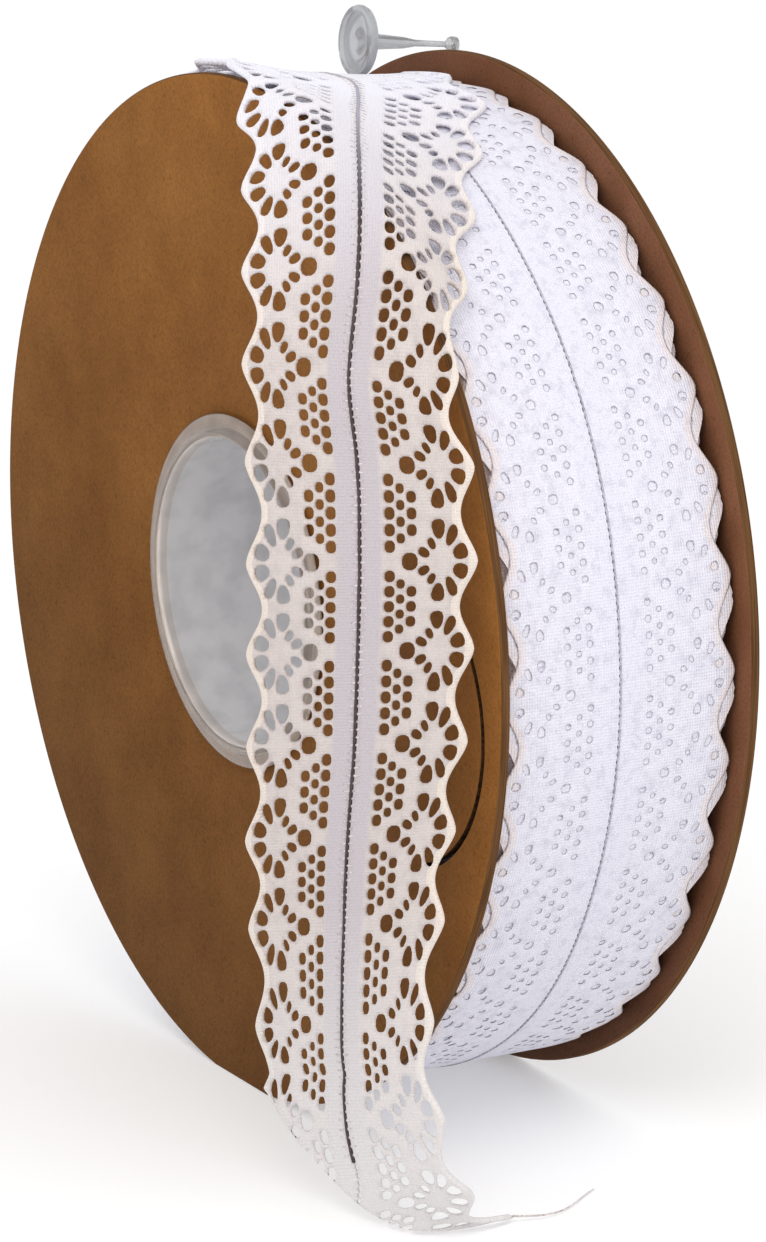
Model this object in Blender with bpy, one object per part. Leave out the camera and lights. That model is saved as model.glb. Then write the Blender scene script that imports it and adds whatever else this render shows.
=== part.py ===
"""Spool of lace-edged ribbon: two board discs on a clear core, a wound roll of lace and its loose end.

Metres, +Z up. +X runs along the spool's axis, out of the front disc. +Y is level, across the discs,
towards the side where the loose end lands. The part stands on z = 0, on a small flat spot under
each disc and on the tip of the loose end. Its bounding box is centred on the origin in X and Y.
"""

import math
from collections import namedtuple

import bmesh
import bpy
from mathutils import Matrix, Vector

MM = 0.001

# Board discs
DISC_RADIUS = 75.0 * MM
BOARD = 1.4 * MM
INSIDE_WIDTH = 38.5 * MM
FOOT_WIDTH = 16.0 * MM
DISC_STEPS = 120
SLIT_CENTRE = (48.0 * MM, -6.0 * MM)
SLIT_RADIUS = 22.0 * MM
SLIT_WIDTH = 0.8 * MM
SLIT_FROM, SLIT_TO = 32.0, -74.0
SLIT_STEPS = 22

# Clear core
CORE_BORE = 22.3 * MM
CORE_RADIUS = 24.0 * MM
LIP_RADIUS = 25.9 * MM
LIP_THICK = 1.3 * MM
CORE_STEPS = 60
SEAT_GAP = 0.3 * MM
LIP_ROUND = 0.5 * MM

# Lace
LACE_HALF = 19.0 * MM
SCALLOP_PITCH = 13.5 * MM
SCALLOP_DEPTH = 2.7 * MM
ROLL_INNER = 24.4 * MM
ROLL_OUTER = 71.0 * MM
ROLL_SAG = 0.6 * MM
ROLL_HALF = 18.8 * MM
ROLL_SIDE_HALF = 17.2 * MM
OUTER_TURNS = 3.2 * MM
EDGE_LIP = 0.4 * MM
EDGE_ROUND = 0.5 * MM
LEAST_SHOULDER = 0.2 * MM
ROLL_STEPS_PER_SCALLOP = 4
SHEET_THICK = 1.2 * MM
SHEET_STEPS_PER_SCALLOP = 6
SHEET_COLUMNS = 9
FOLD_SOFTNESS = 4.0 * MM
RISE_POWER = 2.0

# Clear pin
PIN_HEAD_RADIUS = 5.3 * MM
PIN_HEAD_THICK = 1.3 * MM
PIN_RIM_WIDTH = 0.9 * MM
PIN_STEM_RADIUS = 0.8 * MM
PIN_STEM_LENGTH = 16.0 * MM
PIN_BUTTON_RADIUS = 1.5 * MM
PIN_BUTTON_FROM, PIN_BUTTON_TO = 1.2 * MM, 0.3 * MM
PIN_BUTTON_SLOPE = 0.4 * MM
PIN_TURN = -12.5
PIN_HEAD_AT = (-8.7 * MM, 78.2 * MM)
PIN_SLOPE = 6.5
PIN_STEPS = 24

AXIS_HEIGHT = math.sqrt(DISC_RADIUS ** 2 - (FOOT_WIDTH / 2) ** 2)
FRONT_FACE = INSIDE_WIDTH / 2 + BOARD
FLOOR_LEVEL = SHEET_THICK / 2 - AXIS_HEIGHT

BOARD_BROWN = (0.33, 0.17, 0.065)
CLEAR_WHITE = (0.82, 0.83, 0.86)
LACE_WHITE = (0.86, 0.84, 0.90)
LACE_CREAM = (0.88, 0.83, 0.80)


def clear_scene():
    for obj in list(bpy.data.objects):
        bpy.data.objects.remove(obj, do_unlink=True)


def plain_material(name, colour, roughness, transmission=0.0):
    material = bpy.data.materials.new(name)
    material.use_nodes = True
    shader = material.node_tree.nodes["Principled BSDF"]
    shader.inputs["Base Color"].default_value = (*colour, 1.0)
    shader.inputs["Roughness"].default_value = roughness
    shader.inputs["Metallic"].default_value = 0.0
    shader.inputs["Transmission Weight"].default_value = transmission
    return material


def add_object(name, bm, material=None, smooth_angle=None):
    bmesh.ops.recalc_face_normals(bm, faces=bm.faces)
    mesh = bpy.data.meshes.new(name)
    bm.to_mesh(mesh)
    bm.free()
    if smooth_angle:
        mesh.shade_smooth()
        mesh.set_sharp_from_angle(angle=math.radians(smooth_angle))
    obj = bpy.data.objects.new(name, mesh)
    bpy.context.scene.collection.objects.link(obj)
    if material:
        mesh.materials.append(material)
    return obj


def spool_point(along, turn, radius):
    """A point by its place along the axis, its turn in degrees from the top towards +Y, and its radius."""
    angle = math.radians(turn)
    return Vector((along, radius * math.sin(angle), radius * math.cos(angle)))


def spool_coordinates(point):
    return point.x, math.degrees(math.atan2(point.y, point.z)), math.hypot(point.y, point.z)


def ring_mesh(rings, closed_profile):
    """Skin a list of rings of points. Rings join round the axis; a closed profile also joins ends."""
    bm = bmesh.new()
    verts = [[bm.verts.new(point) for point in ring] for ring in rings]
    count = len(rings)
    width = len(rings[0])
    for i in range(count):
        here, after = verts[i], verts[(i + 1) % count]
        for j in range(width if closed_profile else width - 1):
            k = (j + 1) % width
            bm.faces.new((here[j], here[k], after[k], after[j]))
    return bm


def turned(profile, steps, closed_profile):
    """Turn a profile of (along, radius) points about the X axis."""
    rings = []
    for i in range(steps):
        turn = 360.0 * i / steps
        rings.append([spool_point(along, turn, radius) for along, radius in profile])
    bm = ring_mesh(rings, closed_profile)
    if not closed_profile:
        bmesh.ops.remove_doubles(bm, verts=bm.verts, dist=0.001 * MM)
    return bm


def plate(outline, low_x, high_x):
    """Extrude an outline of (y, z) points between two places along X."""
    bm = bmesh.new()
    face = bm.faces.new([bm.verts.new((low_x, y, z)) for y, z in outline])
    grown = bmesh.ops.extrude_face_region(bm, geom=[face])
    moved = [item for item in grown["geom"] if isinstance(item, bmesh.types.BMVert)]
    bmesh.ops.translate(bm, verts=moved, vec=(high_x - low_x, 0.0, 0.0))
    return bm


def cut(obj, cutter):
    cutter.hide_render = True
    cutter.display_type = "WIRE"
    modifier = obj.modifiers.new(cutter.name, "BOOLEAN")
    modifier.operation = "DIFFERENCE"
    modifier.object = cutter


def disc_outline():
    """The disc's round edge with its small flat spot at the bottom."""
    half_flat = math.asin(FOOT_WIDTH / 2 / DISC_RADIUS)
    start = math.pi + half_flat
    sweep = 2 * (math.pi - half_flat)
    points = []
    for i in range(DISC_STEPS + 1):
        angle = start + sweep * i / DISC_STEPS
        points.append((DISC_RADIUS * math.sin(angle), DISC_RADIUS * math.cos(angle)))
    return points


def slit_outline():
    """A thin half-moon: an arc about the slit's centre, out along one side and back along the other."""
    sides = []
    for radius, order in ((SLIT_RADIUS - SLIT_WIDTH / 2, 1), (SLIT_RADIUS + SLIT_WIDTH / 2, -1)):
        arc = []
        for i in range(SLIT_STEPS + 1):
            angle = math.radians(SLIT_FROM + (SLIT_TO - SLIT_FROM) * i / SLIT_STEPS)
            y = SLIT_CENTRE[0] + radius * math.cos(angle)
            z = SLIT_CENTRE[1] + radius * math.sin(angle)
            arc.append((y, z))
        sides += arc[::order]
    return sides


def make_disc(name, inner_face, outer_face, material, with_slit):
    low, high = sorted((inner_face, outer_face))
    disc = add_object(name, plate(disc_outline(), low, high), material)
    hole_profile = [(low - BOARD, 0.0), (low - BOARD, CORE_RADIUS + SEAT_GAP),
                    (high + BOARD, CORE_RADIUS + SEAT_GAP), (high + BOARD, 0.0)]
    cutters = [add_object(name + "_hub_hole", turned(hole_profile, CORE_STEPS, False))]
    if with_slit:
        cutters.append(add_object(name + "_slit", plate(slit_outline(), low - BOARD, high + BOARD)))
    for cutter in cutters:
        cut(disc, cutter)
    return [disc] + cutters


def make_core(material):
    """The tube with a rounded lip outside each disc, turned as one closed profile."""
    seat = FRONT_FACE + SEAT_GAP
    crest = seat + LIP_THICK
    round_off = LIP_ROUND
    half = [(seat, CORE_RADIUS), (seat, LIP_RADIUS - round_off / 2), (seat + round_off, LIP_RADIUS),
            (crest - round_off, LIP_RADIUS - round_off / 2), (crest, LIP_RADIUS - 2 * round_off),
            (crest, CORE_BORE + 2 * round_off), (crest - round_off, CORE_BORE + round_off / 3),
            (crest - 3 * round_off, CORE_BORE)]
    mirrored = [(-along, radius) for along, radius in reversed(half)]
    return add_object("hub_core", turned(half + mirrored, CORE_STEPS, True), material, 50)


def scallop(phase):
    """How far the lace's edge reaches: 1 at a scallop's peak, 0 in the valley between two."""
    return 0.5 + 0.5 * math.cos(2 * math.pi * phase)


def make_roll(material):
    """The wound lace: plain sides, and outer turns whose edges are scalloped and which hang a little low."""
    scallops = round(2 * math.pi * ROLL_OUTER / SCALLOP_PITCH)
    steps = scallops * ROLL_STEPS_PER_SCALLOP
    rings = []
    for i in range(steps):
        turn = 360.0 * i / steps
        outer = ROLL_OUTER - ROLL_SAG * math.cos(math.radians(turn))
        edge = ROLL_HALF - SCALLOP_DEPTH * (1 - scallop(i / ROLL_STEPS_PER_SCALLOP))
        shoulder = min(edge - LEAST_SHOULDER, ROLL_SIDE_HALF)
        half = [(ROLL_SIDE_HALF, ROLL_INNER), (shoulder, outer - OUTER_TURNS),
                (edge, outer - OUTER_TURNS / 2), (edge - EDGE_LIP, outer - EDGE_ROUND),
                (ROLL_HALF / 2, outer)]
        mirrored = [(-along, radius) for along, radius in reversed(half)]
        rings.append([spool_point(along, turn, radius) for along, radius in half + mirrored])
    return add_object("lace_roll", ring_mesh(rings, True), material, 40)


# The loose end, row by row across the lace. run is the length along the lace from the row whose
# left edge crosses the rim. A row is given by its left edge, its right edge and, where it lies
# across the rim, the place on the rim where it folds. Lengths are in millimetres from the centre
# of the spool: on_roll takes along, turn and radius, and free takes X, Y and Z.
Row = namedtuple("Row", "run left right fold")


def on_roll(along, turn, radius):
    return spool_point(along * MM, turn, radius * MM)


def free(x, y, z):
    return Vector((x, y, z)) * MM


def rim(turn):
    """A fold over the front rim, far enough out for the softened fold to clear the board."""
    return on_roll(RIM_ALONG, turn, RIM_RADIUS)


RIM_ALONG, RIM_RADIUS = 20.6, 78.2
FLOOR = FLOOR_LEVEL / MM
ROWS = [
    Row(-75, on_roll(18.6, -61.0, 71.75), on_roll(-18.6, -61.0, 71.75), None),
    Row(-60, on_roll(18.4, -49.5, 71.9), on_roll(-18.6, -47.0, 71.75), None),
    Row(-45, on_roll(17.9, -37.7, 72.8), on_roll(-18.5, -33.0, 71.75), None),
    Row(-30, on_roll(17.2, -26.0, 75.2), on_roll(-18.2, -18.0, 71.75), None),
    Row(-18, on_roll(17.6, -16.5, 76.5), on_roll(-17.0, -6.5, 71.75), None),
    Row(-8, on_roll(19.0, -8.5, 76.8), on_roll(-14.8, 3.5, 71.75), None),
    Row(0, on_roll(20.8, -2.0, 76.9), on_roll(-12.3, 11.5, 71.8), None),
    Row(14, free(26.5, 11.3, 70.6), on_roll(-3.3, 23.4, 72.0), rim(13.0)),
    Row(28, free(32.0, 22.7, 62.9), on_roll(5.5, 34.9, 72.7), rim(28.0)),
    Row(42, free(36.4, 30.8, 52.7), on_roll(14.1, 46.0, 75.2), rim(43.0)),
    Row(55, free(38.6, 35.0, 41.2), free(22.6, 66.6, 43.9), None),
    Row(68, free(39.9, 38.2, 28.8), free(23.4, 72.2, 33.3), None),
    Row(81, free(41.0, 40.4, 15.6), free(23.8, 73.8, 21.2), None),
    Row(95, free(40.7, 39.7, 2.1), free(24.0, 73.2, 8.4), None),
    Row(108, free(40.2, 38.8, -11.0), free(24.7, 72.8, -4.1), None),
    Row(121, free(39.9, 37.8, -24.4), free(26.0, 72.0, -16.1), None),
    Row(135, free(39.5, 38.0, -37.7), free(28.5, 73.2, -28.6), None),
    Row(148, free(38.9, 38.9, -51.3), free(31.4, 75.4, -41.3), None),
    Row(156, free(38.9, 39.6, -58.6), free(32.4, 78.2, -48.5), None),
    Row(163, free(38.0, 45.2, -64.8), free(31.8, 78.4, -55.2), None),
    Row(170, free(36.0, 53.6, -70.0), free(29.3, 76.8, -62.0), None),
    Row(178, free(33.4, 62.4, -73.2), free(24.8, 74.2, -68.4), None),
    Row(185, free(29.4, 69.6, FLOOR), free(19.8, 72.2, -72.2), None),
    Row(192, free(15.8, 71.4, FLOOR), free(14.6, 70.6, FLOOR), None),
]
FOLD_STARTS, FOLD_ENDS = 0.0, 55.0
CUT_STARTS, CUT_ENDS = 156.0, 193.0
CUT_CORNER = 0.5


def blend(values, runs, run):
    """A smooth curve through the rows' points: Catmull-Rom, with the rows' own spacing."""
    i = max(k for k in range(len(runs) - 1) if runs[k] <= run + 1e-9)
    before, after = max(i - 1, 0), min(i + 2, len(runs) - 1)
    gap = runs[i + 1] - runs[i]
    t = (run - runs[i]) / gap
    slope_here = (values[i + 1] - values[before]) * (gap / (runs[i + 1] - runs[before]))
    slope_next = (values[after] - values[i]) * (gap / (runs[after] - runs[i]))
    here, ahead = values[i], values[i + 1]
    return (here * (2 * t ** 3 - 3 * t ** 2 + 1) + slope_here * (t ** 3 - 2 * t ** 2 + t)
            + ahead * (3 * t ** 2 - 2 * t ** 3) + slope_next * (t ** 3 - t ** 2))


def left_limit(run):
    """How far left the lace reaches: its full half, or the slanting cut near its end."""
    share = min(max((run - CUT_STARTS) / (CUT_ENDS - CUT_STARTS), 0.0), 1.0)
    return LACE_HALF * (2 * share - 1)


def raw_point(run, across):
    """A point of the loose end, before its fold over the rim is softened."""
    runs = [row.run for row in ROWS]
    left = blend([row.left for row in ROWS], runs, run)
    right = blend([row.right for row in ROWS], runs, run)
    share = min(max((run - FOLD_STARTS) / (FOLD_ENDS - FOLD_STARTS), 0.0), 1.0)
    fold_across = LACE_HALF * (2 * share - 1)
    if run <= FOLD_STARTS:
        fold = left
    elif run >= FOLD_ENDS:
        fold = right
    else:
        folds = [row for row in ROWS if FOLD_STARTS <= row.run <= FOLD_ENDS]
        points = [row.fold or (row.left if row.run <= FOLD_STARTS else row.right) for row in folds]
        fold = blend(points, [row.run for row in folds], run)
    if across < fold_across or run >= FOLD_ENDS:
        low = left_limit(run)
        return left.lerp(fold, (across - low) / (fold_across - low))
    t = (across - fold_across) / (LACE_HALF - fold_across)
    start, end = spool_coordinates(fold), spool_coordinates(right)
    along = start[0] + (end[0] - start[0]) * t
    turn = start[1] + (end[1] - start[1]) * t
    radius = end[2] + (start[2] - end[2]) * (1 - t) ** RISE_POWER
    return spool_point(along, turn, radius)


def sheet_point(run, across):
    """The softened surface: the mean of raw points a little to either side, along the same row."""
    room = min(FOLD_SOFTNESS, LACE_HALF - across, across - left_limit(run))
    samples = [raw_point(run, across + room * k / 2) for k in (-2, -1, 0, 1, 2)]
    return sum(samples, Vector()) / len(samples)


def sheet_grid():
    first, last = ROWS[0].run, ROWS[-1].run
    step = SCALLOP_PITCH / MM / SHEET_STEPS_PER_SCALLOP
    count = int((last - first) / step)
    grid = []
    for i in range(count + 1):
        run = first + (last - first) * i / count
        edge = LACE_HALF - SCALLOP_DEPTH * (1 - scallop(run * MM / SCALLOP_PITCH))
        low = max(-edge, left_limit(run))
        high = max(edge, low + CUT_CORNER * MM)
        columns = [low + (high - low) * j / (SHEET_COLUMNS - 1) for j in range(SHEET_COLUMNS)]
        grid.append([sheet_point(run, across) for across in columns])
    return grid


def grid_normals(grid):
    rows, columns = len(grid), len(grid[0])
    normals = []
    for i in range(rows):
        line = []
        for j in range(columns):
            down = grid[min(i + 1, rows - 1)][j] - grid[max(i - 1, 0)][j]
            over = grid[i][min(j + 1, columns - 1)] - grid[i][max(j - 1, 0)]
            line.append(over.cross(down).normalized())
        normals.append(line)
    return normals


def make_loose_end(material):
    """The sheet given its thickness: two skins joined all round their edge."""
    grid = sheet_grid()
    normals = grid_normals(grid)
    rows, columns = len(grid), len(grid[0])
    bm = bmesh.new()
    skins = []
    for side in (0.5, -0.5):
        skin = []
        for i in range(rows):
            line = []
            for j in range(columns):
                point = grid[i][j] + normals[i][j] * (side * SHEET_THICK)
                point.z = max(point.z, -AXIS_HEIGHT)
                line.append(bm.verts.new(point))
            skin.append(line)
        skins.append(skin)
    top, bottom = skins
    for i in range(rows - 1):
        for j in range(columns - 1):
            bm.faces.new((top[i][j], top[i][j + 1], top[i + 1][j + 1], top[i + 1][j]))
            bm.faces.new((bottom[i][j], bottom[i + 1][j], bottom[i + 1][j + 1], bottom[i][j + 1]))
    border = [(i, 0) for i in range(rows)] + [(rows - 1, j) for j in range(1, columns)]
    border += [(i, columns - 1) for i in range(rows - 2, -1, -1)]
    border += [(0, j) for j in range(columns - 2, 0, -1)]
    for (i, j), (k, m) in zip(border, border[1:] + border[:1]):
        bm.faces.new((top[i][j], top[k][m], bottom[k][m], bottom[i][j]))
    return add_object("loose_end", bm, material, 60)


def make_pin(material):
    """A dished head, a thin stem and a small end button, turned as one piece."""
    head, stem = PIN_HEAD_RADIUS, PIN_STEM_RADIUS
    tip = -PIN_STEM_LENGTH
    dish, crown, side = 0.2 * PIN_HEAD_THICK, 0.5 * PIN_HEAD_THICK, 0.35 * PIN_HEAD_THICK
    inside, top = head - PIN_RIM_WIDTH, head - 0.6 * PIN_RIM_WIDTH
    profile = [(dish, 0.0), (dish, inside), (crown, top), (side, head),
               (-side, head), (-crown, top), (-dish, inside), (-dish, 2 * stem),
               (-PIN_HEAD_THICK, stem), (tip + PIN_BUTTON_FROM + PIN_BUTTON_SLOPE, 0.8 * stem),
               (tip + PIN_BUTTON_FROM, PIN_BUTTON_RADIUS), (tip + PIN_BUTTON_TO, PIN_BUTTON_RADIUS),
               (tip, PIN_BUTTON_RADIUS / 2), (tip, 0.0)]
    pin = add_object("end_pin", turned(profile, PIN_STEPS, False), material, 40)
    along, radius = PIN_HEAD_AT
    lean = Matrix.Rotation(math.radians(PIN_TURN), 4, "X").inverted()
    tilt = Matrix.Rotation(math.radians(-PIN_SLOPE), 4, "Y")
    pin.matrix_world = Matrix.Translation(spool_point(along, PIN_TURN, radius)) @ lean @ tilt
    return pin


def stand_on_origin(objects, solids):
    """Lift the spool onto z = 0 and centre the whole part's bounding box on the origin."""
    bpy.context.view_layer.update()
    corners = [obj.matrix_world @ vert.co for obj in solids for vert in obj.data.vertices]
    middle = [(min(c[k] for c in corners) + max(c[k] for c in corners)) / 2 for k in (0, 1)]
    frame = bpy.data.objects.new("spool_centre", None)
    bpy.context.scene.collection.objects.link(frame)
    frame.location = (-middle[0], -middle[1], AXIS_HEIGHT)
    for obj in objects:
        obj.parent = frame


def main():
    clear_scene()
    board = plain_material("kraft_board", BOARD_BROWN, 0.85)
    clear = plain_material("clear_plastic", CLEAR_WHITE, 0.25, 0.6)
    wound = plain_material("wound_lace", LACE_WHITE, 0.9)
    loose = plain_material("loose_lace", LACE_CREAM, 0.9)
    inner = INSIDE_WIDTH / 2
    front = make_disc("flange_front", inner, FRONT_FACE, board, True)
    back = make_disc("flange_back", -inner, -FRONT_FACE, board, False)
    soft = [make_core(clear), make_roll(wound), make_loose_end(loose), make_pin(clear)]
    stand_on_origin(front + back + soft, [front[0], back[0]] + soft)


main()
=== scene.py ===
"""The look of the spool of lace-edged ribbon: kraft discs, clear core and pin, wound lace and loose end.

Metres, +Z up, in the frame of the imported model. +X runs along the spool's axis, out of the front
disc. Places on the spool are given by their distance along the axis, their turn in degrees from
the top towards +Y, and their radius. Places on the lace are given by run, along it, and across.
"""

import math
from collections import namedtuple

import bmesh
import bpy
import numpy as np
from mathutils import Matrix, Vector
from mathutils.geometry import delaunay_2d_cdt


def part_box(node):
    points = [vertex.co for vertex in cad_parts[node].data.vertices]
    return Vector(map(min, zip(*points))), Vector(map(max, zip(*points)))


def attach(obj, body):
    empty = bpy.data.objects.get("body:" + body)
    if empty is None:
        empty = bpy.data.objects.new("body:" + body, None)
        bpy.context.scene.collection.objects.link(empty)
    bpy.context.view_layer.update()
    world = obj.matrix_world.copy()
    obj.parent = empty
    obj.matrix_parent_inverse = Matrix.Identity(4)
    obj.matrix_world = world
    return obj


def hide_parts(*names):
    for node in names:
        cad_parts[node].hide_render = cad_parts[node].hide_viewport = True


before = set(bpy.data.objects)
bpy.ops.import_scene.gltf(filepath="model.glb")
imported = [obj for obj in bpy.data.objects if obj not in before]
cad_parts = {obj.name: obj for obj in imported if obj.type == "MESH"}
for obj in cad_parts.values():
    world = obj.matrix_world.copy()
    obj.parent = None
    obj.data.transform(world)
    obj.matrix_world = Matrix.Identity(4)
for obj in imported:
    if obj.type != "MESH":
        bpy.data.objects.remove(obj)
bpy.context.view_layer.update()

MM = 0.001

# The spool's centre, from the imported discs
DISC_RADIUS = 75.0
FRONT_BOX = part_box("flange_front")
BACK_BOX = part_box("flange_back")
CENTRE = Vector((
    (FRONT_BOX[1][0] + BACK_BOX[0][0]) / 2,
    (FRONT_BOX[0][1] + FRONT_BOX[1][1]) / 2,
    FRONT_BOX[1][2] - DISC_RADIUS * MM,
))

# Sizes in millimetres
BOARD = 1.4
INNER_FACE = 19.25
FRONT_FACE = INNER_FACE + BOARD
FOOT_WIDTH = 16.0
HUB_HOLE = 24.3
SLIT_CENTRE = (48.0, -6.0)
SLIT_RADIUS = 22.0
SLIT_WIDTH = 0.8
SLIT_FROM, SLIT_TO = 32.0, -74.0
CORE_BORE = 22.3
CORE_RADIUS = 24.0
LIP_RADIUS = 25.9
SEAT_GAP = 0.3
LIP_THICK = 1.3
AXIS_HEIGHT = math.sqrt(DISC_RADIUS ** 2 - (FOOT_WIDTH / 2) ** 2)

# The lace and its holes, in millimetres across and along
HALF = 19.0
PITCH = 13.5
SCALLOP_DEPTH = 2.7
ROSETTE = 13.1
# Columns of the net between two rosettes: across, size of a hole, places along
NET_COLUMNS = ((4.8, 1.62, (-4.6, -2.3, 0.0, 2.3, 4.6)), (6.6, 1.3, (-3.45, -1.15, 1.15, 3.45)),
               (8.4, 1.52, (-2.3, 0.0, 2.3)))
# Holes round a rosette's centre: inward from it, along, length away from it, width, and taper
PETALS = ((5.05, 0.0, 2.45, 2.4, 0.0), (2.75, 1.3, 1.8, 1.25, 0.1), (1.5, 2.55, 1.62, 1.08, 0.1),
          (0.4, 4.62, 2.6, 1.95, 0.28), (-1.72, 3.72, 2.95, 1.5, 0.22), (-3.15, 1.4, 2.35, 2.1, 0.16))
WOUND_HOLES = 0.58
LOOSE_HOLES = 1.08
LADDER_STEPS = 12
LADDER_SLOT = (0.8, 0.5)
THREAD_ROUND = 0.26
LACE_THICK = 0.34
CORD_WIDE = 1.25

# The wound turns: radius in millimetres, the turn where each starts, and its seed
OUTER_CELLS = 34
OUTER_START_RADIUS, OUTER_RADIUS = 72.0, 71.95
OUTER_START = -65.7
OUTER_SEED = 3
OUTER_THICK = 0.07
LOWER_TURNS = ((71.86, -84.0, 11), (71.78, -117.0, 29))
FIRST_RADIUS, FIRST_START, FIRST_SEED, FIRST_CELLS = 24.75, 20.0, 51, 12
EDGE_DROOP = 0.3
# How far the outer turns hang below the axis's centre
ROLL_SAG = 0.8
STACKED_EDGES, STACK_RADIUS, STACK_STEP = 9, 71.1, 0.62
STRIP_WIDTH = 4.5
BODY_RADIUS, BODY_RIB, BODY_RIBS = 71.6, 1.15, 33
BODY_INSIDE = 25.0

# The pin, in millimetres, and its place: along, turn, radius and tilt
PIN_HEAD = 5.3
PIN_STEM = 0.95
PIN_THICK = 1.6
PIN_LENGTH = 16.5
PIN_BUTTON = 1.2
PIN_ALONG, PIN_TURN, PIN_REACH = -8.7, -12.5, 77.4
PIN_TILT = -6.5

# The camera, fitted to the photograph, in metres and degrees
VIEW_DISTANCE, VIEW_TURN, VIEW_RISE = 0.9, 60.67, 14.35
LENS, SENSOR = 178.35, 36.0
SHIFT_X, SHIFT_Y = 0.0165, -0.0381

# Each light's place from the spool's centre, size, power and colour
KEY_LIGHT = ((0.19, 0.27, 0.29), 0.24, 0.45, (1.0, 0.97, 0.93))
HIGH_LIGHT = ((-0.12, 0.35, 0.5), 0.4, 0.4, (1.0, 1.0, 1.0))
WORLD_STRENGTH = 0.97
FLOOR_REACH = 6.0
FLOOR_GREY, FLOOR_GLOW = 0.72, 0.3

# Painted light on the boards: their tone grows lighter with height and towards the +Y side, in metres from
# the origin
PAINTED_LIGHT_BASE, PAINTED_LIGHT_PER_HEIGHT, PAINTED_LIGHT_PER_SIDE = 0.63, 4.6, 2.4
PAINTED_LIGHT_SIDE_FROM, PAINTED_LIGHT_SIDE_MORE = 0.043, 11.0

# Where the lace's tones change, in millimetres across or along. The woven band's edge is the lace's own; the
# rest is painted light: the loose end and its thread darken as they leave the lit roll, and the lace pales
# near the white floor.
BAND_EDGE = (4.1, 3.3)
PAINTED_SHADE_OFF_ROLL = (-2.0, 46.0)
PAINTED_FLOOR_LIGHT = (132.0, 172.0)
THREAD_PAINTED_SHADE = (12.0, 34.0)
WEAVE_ALONG, WEAVE_ACROSS = 0.46, 0.42
WHITE = (1.0, 1.0, 1.0)


def spool_point(along, turn, radius):
    angle = math.radians(turn)
    return Vector((along, radius * math.sin(angle), radius * math.cos(angle)))


def spool_points(along, turn, radius):
    """Many points at once, from arrays in millimetres and degrees, as rows of metres."""
    angle = np.radians(turn)
    spot = np.stack([along + 0.0 * angle, radius * np.sin(angle), radius * np.cos(angle)], axis=-1)
    return spot * MM + np.array(CENTRE)


# Camera and studio

def make_camera():
    """The photograph's view: 900 mm from the spool's centre, to the right of its axis and above it."""
    turn, rise = math.radians(VIEW_TURN), math.radians(VIEW_RISE)
    back = Vector((math.cos(turn) * math.cos(rise), math.sin(turn) * math.cos(rise), math.sin(rise)))
    data = bpy.data.cameras.new("view")
    data.lens = LENS
    data.sensor_width = SENSOR
    data.shift_x = SHIFT_X
    data.shift_y = SHIFT_Y
    data.clip_start = 0.05
    data.clip_end = 20.0
    camera = bpy.data.objects.new("view", data)
    camera.location = CENTRE + back * VIEW_DISTANCE
    camera.rotation_euler = back.to_track_quat("Z", "Y").to_euler()
    bpy.context.scene.collection.objects.link(camera)
    bpy.context.scene.camera = camera


def add_light(name, place, size, power, colour):
    data = bpy.data.lights.new(name, "AREA")
    data.shape = "DISK"
    data.size = size
    data.energy = power
    data.color = colour
    light = bpy.data.objects.new(name, data)
    light.location = CENTRE + Vector(place)
    light.rotation_euler = Vector(place).to_track_quat("Z", "Y").to_euler()
    bpy.context.scene.collection.objects.link(light)


def make_studio():
    world = bpy.data.worlds.new("studio")
    world.use_nodes = True
    back = world.node_tree.nodes["Background"]
    back.inputs["Color"].default_value = (*WHITE, 1.0)
    back.inputs["Strength"].default_value = WORLD_STRENGTH
    bpy.context.scene.world = world
    bpy.context.scene.view_settings.view_transform = "Standard"
    add_light("key", *KEY_LIGHT)
    add_light("high", *HIGH_LIGHT)
    floor_mesh = bpy.data.meshes.new("floor")
    corners = [(x * FLOOR_REACH, y * FLOOR_REACH, 0.0) for x, y in ((-1, -1), (1, -1), (1, 1), (-1, 1))]
    floor_mesh.from_pydata(corners, [], [(0, 1, 2, 3)])
    floor = bpy.data.objects.new("floor", floor_mesh)
    bpy.context.scene.collection.objects.link(floor)
    paper = bpy.data.materials.new("floor_white")
    paper.use_nodes = True
    shader = paper.node_tree.nodes["Principled BSDF"]
    shader.inputs["Base Color"].default_value = (FLOOR_GREY, FLOOR_GREY, FLOOR_GREY, 1.0)
    shader.inputs["Roughness"].default_value = 0.9
    shader.inputs["Specular IOR Level"].default_value = 0.0
    shader.inputs["Emission Color"].default_value = (*WHITE, 1.0)
    shader.inputs["Emission Strength"].default_value = FLOOR_GLOW
    floor_mesh.materials.append(paper)


# Materials

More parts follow.
